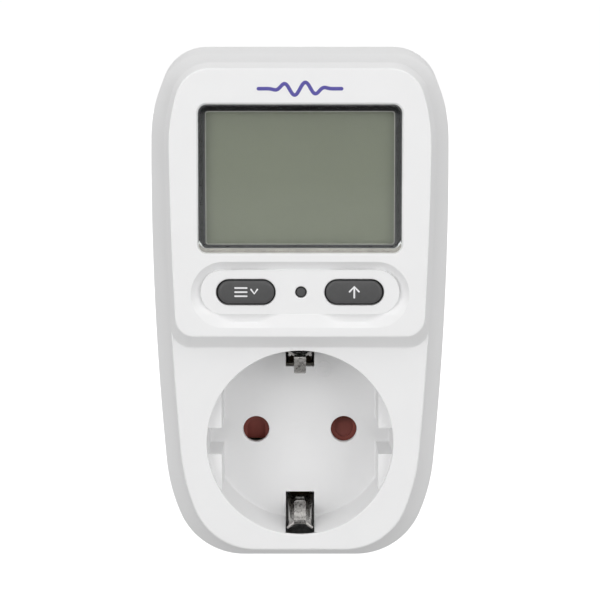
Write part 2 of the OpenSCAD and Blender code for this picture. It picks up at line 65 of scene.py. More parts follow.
# Each outline's right half: its top, where its straight top ends, then radius and turn of each arc.
CASE = (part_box("back_cover")[1].z / MM, 19.9,
        [(9.8, 69), (36.6, 20.4), (678, 5.86), (38.3, 18), (14.85, 66.74)])
FACE = (CASE[0] - 3.05, 18.4, [(8.4, 72.9), (37.7, 17.7), (852, 4.3), (42.8, 17.1), (13.7, 68)])
DRAFT = 1.2
STEP_Z = 20.3
STEP_DROP = 2.7
STEP_CORNER = 3.7
WELL_R = 19.55
FLOOR_D = 17.5
PIN_COLLAR_R = 3.6
PIN_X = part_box("line_pin")[0].x / MM + PIN_COLLAR_R
HOLE_R = 2.825
SLOT_HALF = 3.1
SLOT_Z = 13.75
KEY_X = 11.2
KEY_Z = 32.2
KEY_CAP = (11.62, 4.72)
KEY_FLANGE = (13.54, 6.64)
KEY_HOLE = (12.3, 5.4)
KEY_SHIFT = 0.06
KEY_FRONT = -PANEL_RISE + 0.02
KEY_DOME = 0.12
RESET_X = 0.2
WINDOW_Z = (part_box("display_lens")[0].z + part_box("display_lens")[1].z) / 2 / MM
WINDOW = (42.26, 30.86)
LENS = (41.88, 30.48)
LENS_FRONT = -3.95
LENS_BACK = -2.72
SEAT_D = -2.6


def at(x, d, z):
    """A point in metres in the row frame."""
    return (x * MM, (d - PLUG_D) * MM, z * MM)


# ---- outlines -------------------------------------------------------------------------------

def stations():
    """Places along half an outline, as (stretch, share) pairs, closer where the step ends."""
    long_side = np.concatenate([
        np.arange(0, 0.46, 0.012), np.arange(0.46, 0.62, 0.0025), np.arange(0.62, 1, 0.012)])
    shares = [np.arange(n) / n for n in (30, 22, 18)]
    shares += [long_side] + [np.arange(n) / n for n in (20, 26, 10)]
    found = [(stretch, share) for stretch, group in enumerate(shares) for share in group]
    return found + [(6, 1.0)]


def half_outline(shape):
    """Points and outward directions along the right half of an outline."""
    top, flat, arcs = shape
    p, heading, bends = np.array([flat, top]), 0.0, []
    for r, turn in arcs:
        h = math.radians(heading)
        c = p + r * np.array([math.sin(h), -math.cos(h)])
        bends.append((c, r, heading, turn))
        heading -= turn
        h = math.radians(heading)
        p = c + r * np.array([-math.sin(h), math.cos(h)])
    points, ways = [], []
    for stretch, share in stations():
        if stretch == 0:
            points.append((flat * share, top))
            ways.append((0, 1))
        elif stretch == 6:
            points.append((p[0] * (1 - share), p[1]))
            ways.append((0, -1))
        else:
            c, r, start, turn = bends[stretch - 1]
            h = math.radians(start - turn * share)
            way = np.array([-math.sin(h), math.cos(h)])
            points.append(c + r * way)
            ways.append(way)
    return np.array(points), np.array(ways)


def whole(half):
    """A closed outline from its right half."""
    left = half[-2:0:-1] * np.array([-1, 1])
    return np.concatenate([half, left])


HALVES = {name: half_outline(shape) for name, shape in (("case", CASE), ("face", FACE))}


def ring(name, inset=0.0):
    points, ways = HALVES[name]
    return whole(points - inset * ways)


def stadium(w, h, centre, grow=0.0, n=24, along=10):
    """A slot-shaped outline with n points round each end and some along each straight side."""
    r, run = h / 2, (w - h) / 2
    half = []
    for k in range(n + 1):
        a = math.pi / 2 - math.pi * k / n
        half.append((run + (r + grow) * math.cos(a), (r + grow) * math.sin(a)))
    half = np.array(half)
    steps = np.linspace(-run, run, along + 2)[1:-1]
    top = np.stack([steps, np.full(along, r + grow)], 1)
    return np.concatenate([top, half, -top, -half]) + np.array(centre)


def circle(r, centre=(0, 0), n=96):
    a = math.pi / 2 - np.arange(n) * 2 * math.pi / n
    return np.stack([r * np.cos(a), r * np.sin(a)], 1) + np.array(centre)


def arc(r, a, b, n):
    """Points on a round about the origin, between two angles clockwise from the top."""
    return [(r * math.sin(t), r * math.cos(t)) for t in np.linspace(a, b, n)]


def soft_rect(w, h, r, centre, grow=0.0, n=8):
    """A rectangle with round corners, with points along its sides too."""
    found = []
    for sx, sz, start in ((1, 1, 90), (1, -1, 0), (-1, -1, -90), (-1, 1, -180)):
        for k in range(n + 1):
            a = math.radians(start - 90 * k / n)
            found.append((sx * (w / 2 - r) + (r + grow) * math.cos(a),
                          sz * (h / 2 - r) + (r + grow) * math.sin(a)))
    found = np.array(found)
    dense = []
    for p, q in zip(found, np.roll(found, -1, 0)):
        steps = max(1, int(np.hypot(*(q - p)) / 2.5))
        dense += [p + (q - p) * k / steps for k in range(steps)]
    return np.array(dense) + np.array(centre)


def inside(points, loop):
    """Whether each point lies inside a closed outline."""
    x, z = points[:, 0][:, None], points[:, 1][:, None]
    a, b = loop, np.roll(loop, -1, 0)
    spans = (a[:, 1] > z) != (b[:, 1] > z)
    rise = np.where(b[:, 1] == a[:, 1], 1e-12, b[:, 1] - a[:, 1])
    crosses = x < (b[:, 0] - a[:, 0]) * (z - a[:, 1]) / rise + a[:, 0]
    return (spans & crosses).sum(1) % 2 == 1


def depth_inside(points, loop):
    """Distance from each point to a closed outline, positive inside."""
    a, ab = loop, np.roll(loop, -1, 0) - loop
    best = np.full(len(points), 1e9)
    for i in range(0, len(points), 4000):
        p = points[i:i + 4000, None, :] - a
        t = np.clip((p * ab).sum(2) / np.maximum((ab * ab).sum(1), 1e-12), 0, 1)
        best[i:i + 4000] = np.sqrt(((p - t[:, :, None] * ab) ** 2).sum(2)).min(1)
    return np.where(inside(points, loop), best, -best)


# ---- the front's height ---------------------------------------------------------------------

FACE_RING = ring("face")
DISH = (45.2, 13.75, (0, 31.7))
ISLAND = (41.0, 9.1, (0, KEY_Z))
EDGE_R = 0.38
ISLAND_DROP = 0.55


def smooth(x):
    x = np.clip(x, 0, 1)
    return x * x * (3 - 2 * x)


def round_corner(a, b, r):
    """Distance inside two edges whose corner is rounded."""
    near = (a < r) & (b < r)
    return np.where(near, r - np.hypot(np.maximum(r - a, 0), np.maximum(r - b, 0)), np.minimum(a, b))


def panel_share(e, b):
    """How far up the panel's sides a point is: 0 at the foot and 1 at the top edge."""
    low, high = np.full(len(e), -1.0), np.full(len(e), 3.0)
    for _ in range(26):
        mid = (low + high) / 2
        up = round_corner(e - DRAFT * mid, b - STEP_DROP * mid, STEP_CORNER) >= 0
        low, high = np.where(up, mid, low), np.where(up, high, mid)
    return (low + high) / 2


def stadium_depth(points, w, h, centre):
    run = (w - h) / 2
    x = np.maximum(np.abs(points[:, 0] - centre[0]) - run, 0)
    return h / 2 - np.hypot(x, points[:, 1] - centre[1])


def dish_drop(points):
    """Depth of the moulded recess round the keys: a sloping moat, then a step up to the island."""
    e = stadium_depth(points, *DISH)
    ei = stadium_depth(points, *ISLAND)
    x, z = points[:, 0], points[:, 1]
    up = np.clip((z - KEY_Z) / (ISLAND[1] / 2), -1, 1)
    by_keys = np.exp(-((np.abs(x) - KEY_X) / 5.0) ** 4)
    hollow = 0.1 + 1.7 * smooth(-up) * by_keys
    out = np.maximum(-ei, 0)
    share = np.clip(e / np.maximum(e + out - hollow, 1e-6), 0, 1)
    moat = 1.95 + 0.5 * up - 0.95 * up * up + (0.72 - 0.08 * up) * by_keys
    moat = moat * (share - 0.3 * by_keys * (share - share ** 2))
    climb = np.clip(out / hollow, 0, 1)
    drop = ISLAND_DROP + (moat - ISLAND_DROP) * climb * (2 - climb)
    return np.where(e > 0, drop, 0)


def front_height(points):
    """Height of the front skin above the socket's front plane, inside the face's outline."""
    e = depth_inside(points, FACE_RING)
    b = points[:, 1] - STEP_Z
    t = panel_share(e, b)
    inner = round_corner(e - DRAFT, b - STEP_DROP, STEP_CORNER)

    # the panel with its rounded top edge
    slope = np.clip(PANEL_RISE * (1 - t) / np.where(np.abs(inner) < 1e-4, -1e-4, -inner), 1.2, 3.6)
    phi = np.arctan(slope)
    tangent = EDGE_R * np.tan(phi / 2)
    h = PANEL_RISE * np.clip(t, 0, 1)
    top = (inner < tangent) & (inner > -tangent * np.cos(phi))
    bend = PANEL_RISE - EDGE_R + np.sqrt(np.maximum(EDGE_R ** 2 - (tangent - inner) ** 2, 0))
    h = np.where(top, bend, h)

    # the hollow at the foot of the panel's sides
    foot_r = 0.5 * smooth((e - 1) / 2) + 1e-6
    outer = round_corner(e, b, STEP_CORNER)
    reach = foot_r * np.tan(phi / 2)
    foot = (outer > -reach) & (outer < reach * np.cos(phi))
    hollow = foot_r - np.sqrt(np.maximum(foot_r ** 2 - (outer + reach) ** 2, 0))
    h = np.where(foot, hollow, h)

    # the rounded outer edge of the lower face
    reach = EDGE_R * math.tan(math.radians(83) / 2)
    edge = EDGE_R - np.sqrt(np.maximum(EDGE_R ** 2 - np.clip(reach - e, 0, EDGE_R) ** 2, 0))
    h = h - edge * (1 - smooth(b / 0.8))
    return h - dish_drop(points)


# ---- mesh tools -----------------------------------------------------------------------------

WELD = 2e-6
CRISP_DEG = 38


class Skin:
    """Rows of points and the faces between them, which become one mesh."""

    def __init__(self):
        self.points, self.faces = [], []

    def add(self, points):
        start = len(self.points)
        self.points += [tuple(p) for p in points]
        return list(range(start, start + len(points)))

    def row(self, outline, depth):
        """A row of points along an outline, at one depth or at a depth for each point."""
        depths = np.broadcast_to(depth, (len(outline),))
        return self.add([(p[0], d, p[1]) for p, d in zip(outline, depths)])

    def bridge(self, a, b, closed=True):
        """Faces from row a to row b of equal length."""
        n = len(a)
        for i in range(n if closed else n - 1):
            j = (i + 1) % n
            self.face([a[i], a[j], b[j], b[i]])

    def rows(self, outlines, depths, closed=True):
        """Rows of equal length, joined one to the next."""
        made = [self.row(o, d) for o, d in zip(outlines, depths)]
        for a, b in zip(made, made[1:]):
            self.bridge(a, b, closed)
        return made

    def face(self, corners):
        kept = [c for i, c in enumerate(corners) if c != corners[i - 1]]
        if len(kept) > 2:
            self.faces.append(kept)

    def sheet(self, outline, holes, depth_of, extra=(), facing=-1):
        """Fills an outline, less the holes, with a surface whose depth depends on its place."""
        points, edges = [], []
        for loop in [outline, *holes]:
            start = len(points)
            points += [tuple(p) for p in loop]
            edges += [(start + i, start + (i + 1) % len(loop)) for i in range(len(loop))]
        for group in extra:
            points += [tuple(p) for p in group]
        found, _, faces, *_ = delaunay_2d_cdt([Vector(p) for p in points], edges, [], 0, 1e-5)
        places = np.array([tuple(v) for v in found])
        ids = self.add([(p[0], d, p[1]) for p, d in zip(places, depth_of(places))])
        tri = np.array([list(f) for f in faces])
        middles = places[tri].mean(1)
        keep = inside(middles, np.array(outline))
        for hole in holes:
            keep &= ~inside(middles, np.array(hole))
        u, v = places[tri[:, 1]] - places[tri[:, 0]], places[tri[:, 2]] - places[tri[:, 0]]
        area = u[:, 0] * v[:, 1] - u[:, 1] * v[:, 0]
        for t, k, s in zip(tri, keep, area):
            if k and abs(s) > 1e-9:
                t = t if s * facing < 0 else t[::-1]
                self.face([ids[i] for i in t])

    def build(self, name, finish, turn_out=False):
        """Makes the object, in metres, with doubled points welded."""
        mesh = bpy.data.meshes.new(name)
        mesh.from_pydata([at(*p) for p in self.points], [], self.faces)
        obj = bpy.data.objects.new(name, mesh)
        bpy.context.scene.collection.objects.link(obj)
        mesh.materials.append(finish)
        work = bmesh.new()
        work.from_mesh(mesh)
        bmesh.ops.remove_doubles(work, verts=work.verts, dist=WELD)
        loose = [v for v in work.verts if not v.link_faces]
        bmesh.ops.delete(work, geom=loose, context="VERTS")
        if turn_out:
            bmesh.ops.recalc_face_normals(work, faces=work.faces)
        work.to_mesh(mesh)
        work.free()
        mesh.polygons.foreach_set("use_smooth", [True] * len(mesh.polygons))
        mesh.set_sharp_from_angle(angle=math.radians(CRISP_DEG))
        return obj


def place(obj, body, slot, *nodes):
    """Says which body a piece rides on and hides the nodes that it stands for; its slot is not used.
    """
    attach(obj, body)
    if nodes:
        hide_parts(*nodes)
    return obj


# ---- materials ------------------------------------------------------------------------------

def material(name, base, rough, metal=0.0, grain=0.0, grain_size=0.1, tint=0.0, tint_size=8.0,
             ior=1.5, rough_vary=0.0, **more):
    """A procedural finish: grain is a bump in mm at grain_size mm, tint varies the colour slowly."""
    m = bpy.data.materials.new(name)
    m.use_nodes = True
    nodes, links = m.node_tree.nodes, m.node_tree.links
    shader = nodes["Principled BSDF"]
    shader.inputs["Metallic"].default_value = metal
    shader.inputs["IOR"].default_value = ior
    shader.inputs["Roughness"].default_value = rough
    shader.inputs["Base Color"].default_value = (*base, 1)
    for key, value in more.items():
        shader.inputs[key.replace("_", " ")].default_value = value
    where = nodes.new("ShaderNodeTexCoord")

    def noise(size, detail):
        n = nodes.new("ShaderNodeTexNoise")
        n.inputs["Scale"].default_value = 1 / (size * MM)
        n.inputs["Detail"].default_value = detail
        links.new(where.outputs["Object"], n.inputs["Vector"])
        return n.outputs["Fac"]

    def spread(source, low, high):
        r = nodes.new("ShaderNodeMapRange")
        r.inputs["From Min"].default_value, r.inputs["From Max"].default_value = 0.3, 0.7
        r.inputs["To Min"].default_value, r.inputs["To Max"].default_value = low, high
        links.new(source, r.inputs["Value"])
        return r.outputs["Result"]

    slow = noise(tint_size, 3)
    mix = nodes.new("ShaderNodeMix")
    mix.data_type = "RGBA"
    mix.inputs["A"].default_value = (*[c * (1 - tint) for c in base], 1)
    mix.inputs["B"].default_value = (*[min(1, c * (1 + tint)) for c in base], 1)
    links.new(spread(slow, 0, 1), mix.inputs["Factor"])
    links.new(mix.outputs["Result"], shader.inputs["Base Color"])
    if rough_vary:
        links.new(spread(slow, rough - rough_vary, rough + rough_vary), shader.inputs["Roughness"])
    if grain:
        bump = nodes.new("ShaderNodeBump")
        bump.inputs["Distance"].default_value = grain * MM
        bump.inputs["Strength"].default_value = 1
        links.new(noise(grain_size, 2), bump.inputs["Height"])
        links.new(bump.outputs["Normal"], shader.inputs["Normal"])
    return m


WHITE = material("abs_white", (0.9, 0.9, 0.902), 0.5, grain=0.006, grain_size=0.35, tint=0.006,
                 rough_vary=0.04)
FINISH = {
    "case_abs": WHITE,
    "frame_black": material("frame_black", (0.012, 0.012, 0.013), 0.45, grain=0.006, grain_size=0.3),
    "lcd": material("lcd_film", (0.136, 0.148, 0.105), 0.55, ior=1.35, tint=0.02, tint_size=9),
    "zebra_rubber": material("zebra_rubber", (0.07, 0.07, 0.07), 0.7, grain=0.01, tint=0.2,
                             tint_size=0.5),
    "board": material("solder_resist", (0.012, 0.13, 0.045), 0.3, grain=0.02, grain_size=0.8,
                      tint=0.15, tint_size=2),
    "chip_black": material("moulded_resin", (0.02, 0.02, 0.02), 0.5, grain=0.01, tint=0.1),
    "steel_can": material("steel_can", (0.6, 0.6, 0.6), 0.25, 1, grain=0.003, tint=0.04),
    "switch_black": material("switch_black", (0.02, 0.02, 0.02), 0.45, grain=0.008, tint=0.1),
    "key_grey": material("key_grey", (0.074, 0.074, 0.075), 0.45, grain=0.006, grain_size=0.25,
                         tint=0.04, tint_size=1.5),
    "plunger_ivory": material("plunger_ivory", (0.62, 0.57, 0.44), 0.4, grain=0.005, tint=0.03),
    "cell_sleeve": material("cell_sleeve", (0.05, 0.3, 0.06), 0.3, grain=0.01, grain_size=1,
                            tint=0.08),
    "nickel": material("nickel", (0.42, 0.41, 0.395), 0.3, 1, grain=0.03, grain_size=0.5,
                       tint=0.25, tint_size=0.6, rough_vary=0.1),
    "shutter_brown": material("shutter_brown", (0.2, 0.045, 0.033), 0.55, ior=1.4, grain=0.006,
                              grain_size=0.3, tint=0.05, tint_size=1.5),
    "spring_steel": material("spring_steel", (0.5, 0.5, 0.5), 0.25, 1, grain=0.003, tint=0.05),
    "carrier_cream": material("carrier_cream", (0.6, 0.57, 0.5), 0.45, grain=0.008, tint=0.03),
    "brass_contact": material("brass", (0.72, 0.5, 0.2), 0.25, 1, grain=0.004, tint=0.08,
                              tint_size=2),
    # near black: painted shade on the strap deep inside the earth slots, which lies unlit there
    "bronze_dark": material("bronze_dark", (0.05, 0.036, 0.022), 0.5, 1, grain=0.004, tint=0.08),
    "pin_nickel": material("pin_nickel", (0.72, 0.71, 0.68), 0.18, 1, grain=0.003, grain_size=0.4,
                           tint=0.04, tint_size=3, rough_vary=0.05),
    "manganin": material("manganin", (0.42, 0.33, 0.24), 0.35, 1, grain=0.004, tint=0.08),
    "copper": material("copper", (0.7, 0.33, 0.17), 0.3, 1, grain=0.004, tint=0.08),
    "wire_brown": material("wire_brown", (0.12, 0.04, 0.012), 0.35, grain=0.006, tint=0.05),
    "wire_blue": material("wire_blue", (0.02, 0.08, 0.4), 0.35, grain=0.006, tint=0.05),
    "cap_yellow": material("cap_yellow", (0.7, 0.46, 0.03), 0.35, grain=0.006, tint=0.04),
    "cap_sleeve": material("cap_sleeve", (0.012, 0.02, 0.07), 0.28, grain=0.006, tint=0.1),
    "varistor_blue": material("varistor_blue", (0.02, 0.09, 0.33), 0.3, grain=0.02, grain_size=0.6,
                              tint=0.06),
    "resistor_blue": material("resistor_blue", (0.1, 0.26, 0.45), 0.3, grain=0.01, tint=0.06),
    "ribbon_grey": material("ribbon_grey", (0.4, 0.4, 0.41), 0.4, grain=0.01, tint=0.04),
    "screw_zinc": material("zinc", (0.6, 0.6, 0.58), 0.28, 1, grain=0.004, tint=0.06,
                           rough_vary=0.05),
    "label_silver": material("label_foil", (0.56, 0.56, 0.57), 0.38, 0.6, grain=0.004, tint=0.02,
                             tint_size=3),
}
ACRYLIC = material("acrylic", (0.97, 0.985, 0.98), 0.02, ior=1.49, Transmission_Weight=1.0)
BLACK_INK = material("ink_black", (0.009, 0.009, 0.0095), 0.6, ior=1.06, tint=0.05)
# grey for painted shade: the white ledge along the lens's edge, shadowed under the lens
LEDGE_SHADE_GREY = material("painted_ledge_shade", (0.33, 0.31, 0.28), 0.4, tint=0.15, tint_size=2)
# light grey for a painted highlight: the glint along the display film's cut edge
FILM_EDGE_GLINT = material("film_edge_glint", (0.42, 0.42, 0.38), 0.4, tint=0.15, tint_size=2)
ICON_WHITE = material("ink_white", (0.85, 0.85, 0.86), 0.45, grain=0.003, tint=0.01)
VIOLET = material("ink_violet", (0.1, 0.085, 0.37), 0.4, grain=0.003, tint=0.04, tint_size=1.5)

for entry in frame["record"]["subparts"]:
    node = frame["nodes"].get(entry["node"])
    if node is not None and entry.get("material_slot") in FINISH:
        node.data.materials.clear()
        node.data.materials.append(FINISH[entry["material_slot"]])


# ---- front cover ----------------------------------------------------------------------------

LIP = 0.22
MARGIN = 0.06
PARTING = 0.12
RIM_DROP = 1.3
WELL_RIM = 0.14
WELL_MARGIN = 0.1


def flat_at(depth):
    """The depth_of of a flat sheet."""
    return lambda points: np.full(len(points), depth)


def round_rim(lip, margin):
    """A hole's rounded rim, as (grow, drop) pairs from the flat round it down to its wall."""
    return [(lip + margin, 0.0), (lip, 0.0), (lip * 0.617, lip * 0.076), (lip * 0.293, lip * 0.293),
            (lip * 0.076, lip * 0.617), (0.0, lip)]


def hole_wall(skin, outline, depth, bottom, lip=LIP):
    """The rounded rim and straight wall of a hole, from the flat round it down."""
    rim = round_rim(lip, MARGIN)
    skin.rows([outline(grow) for grow, _ in rim] + [outline(0.0)],
              [depth + drop for _, drop in rim] + [bottom])


def step_rows():
    """Rows that follow the panel's lower edge and its two round corners."""
    rows = []
    for t in (-0.3, -0.2, -0.14, -0.09, -0.04, 0, 0.05, 0.1, 0.2, 0.35, 0.5, 0.65, 0.8, 0.86, 0.9,
              0.94, 0.97, 1.0, 1.03, 1.07, 1.12, 1.2):
        z = STEP_Z + STEP_DROP * t
        probe = np.stack([np.linspace(20, 32, 600), np.full(600, z + STEP_CORNER)], 1)
        e = depth_inside(probe, FACE_RING)
        x = float(np.interp(-(DRAFT * t + STEP_CORNER), -e, probe[:, 0]))
        bend = [(x + STEP_CORNER * math.cos(a), z + STEP_CORNER * (1 + math.sin(a)))
                for a in np.linspace(0, -math.pi / 2, 18)]
        run = [(s, z) for s in np.linspace(x, -x, 60)[1:-1]]
        rows.append(np.array(bend + run + [(-p[0], p[1]) for p in reversed(bend)]))
    return rows


def dish_rows():
    """Loops across the moat round the keys, from the panel to just inside the island's edge."""
    def moat(grow):
        return stadium(*DISH, grow, 36, 64)

    def island(grow):
        return stadium(*ISLAND, grow, 36, 64)

    loops = [moat(grow) for grow in (0.2, 0.12, 0.06, 0.02, -0.02, -0.06, -0.12)]
    outer, inner = moat(-0.12), island(0.65)
    loops += [outer + (inner - outer) * f for f in (0.1, 0.22, 0.35, 0.5, 0.65, 0.8, 1.0)]
    loops += [island(grow) for grow in (0.55, 0.45, 0.36, 0.28, 0.21, 0.16, 0.13, 0.11, 0.09, 0.07,
                                        0.05, 0.03, 0.015, 0, -0.05)]
    return loops


def rim_dip(outline, share):
    """The case's top slopes down towards the front: how far, by the place along the outline."""
    drop = RIM_DROP * smooth((outline[:, 1] - 62) / 19) * share
    return outline - np.stack([np.zeros(len(outline)), drop], 1)


def front_cover():
    """The front shell: its sides, the raised panel with window and key holes, and the lower face."""
    skin = Skin()
    case, face = ring("case"), ring("face")
    rows = [(ring("case", 0.5), SPLIT_D - 0.1), (ring("case", PARTING), SPLIT_D - 0.05),
            (ring("case", 0.02), SPLIT_D - 0.2), (case, SPLIT_D - 0.3)]
    rows += [(rim_dip(case, s), SPLIT_D - 0.3 - (SPLIT_D - 0.3 - COVE_D) * s)
             for s in (0.1, 0.3, 0.5, 0.7, 0.9, 0.97)]
    rows.append((rim_dip(ring("case", 0.02), 1), COVE_D + 0.02))
    edge = rim_dip(case, 1)
    # a hollow cove from the case's front edge in to the face
    for u in (0.985, 0.95, 0.88, 0.8, 0.7, 0.6, 0.5, 0.4, 0.3, 0.2, 0.12, 0.06, 0.03, 0.012):
        s = 0.44 * u + 0.56 * u * u
        rows.append((face + (edge - face) * s, COVE_D * u))
    rows.append((face, None))
    rows += [(ring("face", inset), None) for inset in (0.03, 0.07, 0.12, 0.18, 0.25, 0.33, 0.42, 0.5)]
    made = [skin.row(o, -front_height(o) if d is None else d) for o, d in rows]
    for a, b in zip(made, made[1:]):
        skin.bridge(a, b)
    insets = [0.65, 0.8, 0.92, 1.0, 1.05, 1.1, 1.15, 1.2, 1.25, 1.3, 1.37, 1.46, 1.6, 1.9, 2.5, 3.5,
              4.7]
    window = lambda grow: soft_rect(*WINDOW, 2, (0, WINDOW_Z), grow)
    keys = [lambda grow, s=s: stadium(*KEY_HOLE, (s * KEY_X, KEY_Z), grow) for s in (-1, 1)]
    reset = lambda grow: circle(1.2 + grow, (RESET_X, KEY_Z), 32)
    support = LIP + MARGIN
    dish = dish_rows()
    extra = [ring("face", i) for i in insets] + step_rows()
    skin.sheet(ring("face", 0.5), [window(support), dish[0], well_loop(WELL_RIM + WELL_MARGIN)],
               lambda p: -front_height(p), extra)
    skin.rows(dish, [-front_height(o) for o in dish])
    grid = np.array([(x, z) for x in np.arange(-19.6, 19.7, 0.7)
                     for z in np.arange(KEY_Z - 4, KEY_Z + 4.1, 0.5)])
    skin.sheet(dish[-1], [*[k(support) for k in keys], reset(support)],
               lambda p: -front_height(p), [grid[stadium_depth(grid, *ISLAND) > 0.3]])
    hole_wall(skin, window, -PANEL_RISE, SEAT_D)
    for outline in (*keys, reset):
        level = -front_height(outline(support))
        hole_wall(skin, outline, level, -1.9)
    ledge = soft_rect(40.8, 28.9, 1.2, (0, WINDOW_Z))
    skin.sheet(window(0), [ledge], flat_at(SEAT_D))
    skin.rows([ledge, ledge], [SEAT_D, -1.25])
    return skin


# ---- the socket's well ----------------------------------------------------------------------

SLOT_FRONT = 1.0
SLOT_BACK = 19.1
SLOT_TOP = 22.5
LEDGE_X = 16.5
LEDGE_D = 2.5
NOTCH_Z = 2.8


def well_side(g, ledged):
    """The well's right wall, g inside it, from the top slot's edge to the bottom one's."""
    r = WELL_R - g
    start = math.asin(SLOT_HALF / r)
    turn = math.asin((LEDGE_X - g) / r)
    notch = math.acos((NOTCH_Z - g) / r)
    upper = arc(r, start, turn, 26)
    if ledged:
        side, end = LEDGE_X - g, NOTCH_Z - g
        upper += [(side, z) for z in np.linspace(upper[-1][1], end, 14)[1:]]
        upper += [(x, end) for x in np.linspace(side, r * math.sin(notch), 4)[1:]]
    else:
        upper += arc(r, turn, notch, 14)[1:]
    upper = np.array(upper + arc(r, notch, math.pi / 2, 8)[1:])
    return np.concatenate([upper, upper[-2::-1] * (1, -1)])


def well_loop(grow):
    """The well's whole rim, sampled so that it meets both side walls point for point."""
    side = well_side(0, False)
    lid = math.asin(SLOT_HALF / WELL_R)
    top = np.array(arc(WELL_R, -lid, lid, 9)[1:-1])
    loop = np.concatenate([top, side, top[::-1] * (1, -1), side[::-1] * (-1, 1)])
    return loop * (WELL_R + grow) / WELL_R


def earth_slots(skin):
    """The side walls and the inner end of both earth slots."""
    edge_z = math.sqrt(WELL_R ** 2 - SLOT_HALF ** 2)
    side = [(SLOT_FRONT, edge_z), (SLOT_FRONT, SLOT_TOP), (SLOT_BACK, SLOT_TOP),
            (SLOT_BACK, SLOT_Z), (FLOOR_D, SLOT_Z), (FLOOR_D, edge_z)]
    end = [(-SLOT_HALF, FLOOR_D), (SLOT_HALF, FLOOR_D), (SLOT_HALF, SLOT_BACK),
           (-SLOT_HALF, SLOT_BACK)]
    for t in (1, -1):
        for x in (-SLOT_HALF, SLOT_HALF):
            skin.face(skin.add([(x, d, t * z) for d, z in side]))
        skin.face(skin.add([(x, d, t * SLOT_Z) for x, d in end]))


def socket_well(skin):
    """The well behind the lower face: rim, walls with earth slots, side ledges, floor, pin holes."""
    profile = round_rim(WELL_RIM, WELL_MARGIN) + [(0.0, SLOT_FRONT)]
    skin.rows([well_loop(g) for g, _ in profile], [d for _, d in profile])
    foot = 0.5
    bends = [(foot * (1 - math.cos(a)), FLOOR_D - foot + foot * math.sin(a))
             for a in np.radians([0, 20, 40, 60, 75, 90])]
    for s in (1, -1):
        turned = (s, 1)
        plain = well_side(0, False) * turned
        skin.rows([plain, plain], [SLOT_FRONT, LEDGE_D], closed=False)
        wall = [well_side(0, True) * turned] + [well_side(g, True) * turned for g, _ in bends]
        skin.rows(wall, [LEDGE_D] + [d for _, d in bends], closed=False)
        for t in (1, -1):
            bow = [p for p in plain if p[0] * s >= LEDGE_X - 0.01 and p[1] * t >= NOTCH_Z - 0.01]
            corner = (s * LEDGE_X, t * NOTCH_Z)
            outline = bow + [corner] if t > 0 else [corner] + bow
            skin.sheet(np.array(outline), [], flat_at(LEDGE_D))
    earth_slots(skin)
    side = well_side(foot, True)
    outline = np.concatenate([[(SLOT_HALF, SLOT_Z)], side, [(SLOT_HALF, -SLOT_Z)],
                              [(-SLOT_HALF, -SLOT_Z)], side[::-1] * (-1, 1), [(-SLOT_HALF, SLOT_Z)]])
    pins = [lambda grow, s=s: circle(HOLE_R + grow, (s * PIN_X, 0), 48) for s in (-1, 1)]
    lip = 0.25
    skin.sheet(outline, [pin(lip + MARGIN) for pin in pins], flat_at(FLOOR_D))
    for pin in pins:
        hole_wall(skin, pin, FLOOR_D, FLOOR_D + 1.6, lip)


def bead(skin, path, r, d, closed=False):
    """A raised line on a flat surface at depth d: half a round bar swept along a path."""
    path = np.array(path, float)
    way = np.roll(path, -1, 0) - np.roll(path, 1, 0)
    if not closed:
        way[0], way[-1] = path[1] - path[0], path[-1] - path[-2]
    side = np.stack([-way[:, 1], way[:, 0]], 1) / np.linalg.norm(way, axis=1)[:, None]
    angles = np.linspace(0, math.pi, 6)
    rows = [skin.row(path + side * r * math.cos(a), d - r * 0.8 * math.sin(a)) for a in angles]
    for a, b in zip(rows, rows[1:]):
        skin.bridge(a, b, closed=closed)


def floor_marks(skin):
    """The faint moulded earth sign on the well's floor, and the two lines above and below a wave."""
    centre, r = np.array((5.15, 13.2)), 1.75
    bead(skin, circle(r, centre, 40), 0.085, FLOOR_D, closed=True)
    for z, half in ((0.45, 1.15), (-0.1, 1.15), (-0.65, 0.7)):
        bead(skin, [centre + (-half, z), centre + (half, z)], 0.085, FLOOR_D)
    for z in (1.9, -0.75):
        bead(skin, [(-2.5, z), (2.2, z)], 0.06, FLOOR_D)
    wave = [(x, 0.55 + 0.4 * math.sin(x * math.pi / 1.5)) for x in np.linspace(-1.65, 1.35, 25)]
    bead(skin, wave, 0.06, FLOOR_D)


# ---- back cover -----------------------------------------------------------------------------

BOSS_R = 18.5
BOSS_FLAT = 16.2
BOSS_RIB = 2.4
SCREWS = [(-26, 72), (26, 72), (-19.8, -16.2), (19.8, -16.2)]
SCREW_HOLE_R = 2.9
LABEL_RECESS = 0.24
GROOVE_Z = 15.4


def boss_outline(grow=0.0):
    """The plug's boss: a round with flat sides, which keep a rib at half height."""
    r, flat, rib = BOSS_R + grow, BOSS_FLAT + grow, BOSS_RIB + grow
    turn, out = math.asin(flat / r), math.acos(rib / r)
    lid = math.asin(SLOT_HALF / r)
    upper = [(SLOT_HALF, GROOVE_Z - grow), (SLOT_HALF, r * math.cos(lid))] + arc(r, lid, turn, 22)[1:]
    upper += [(flat, z) for z in np.linspace(r * math.cos(turn), rib, 8)[1:]]
    upper += arc(r, out, math.pi / 2, 6)
    upper = np.array(upper)
    right = np.concatenate([upper, upper[-2::-1] * (1, -1)])
    return np.concatenate([right, right[::-1] * (-1, 1)])


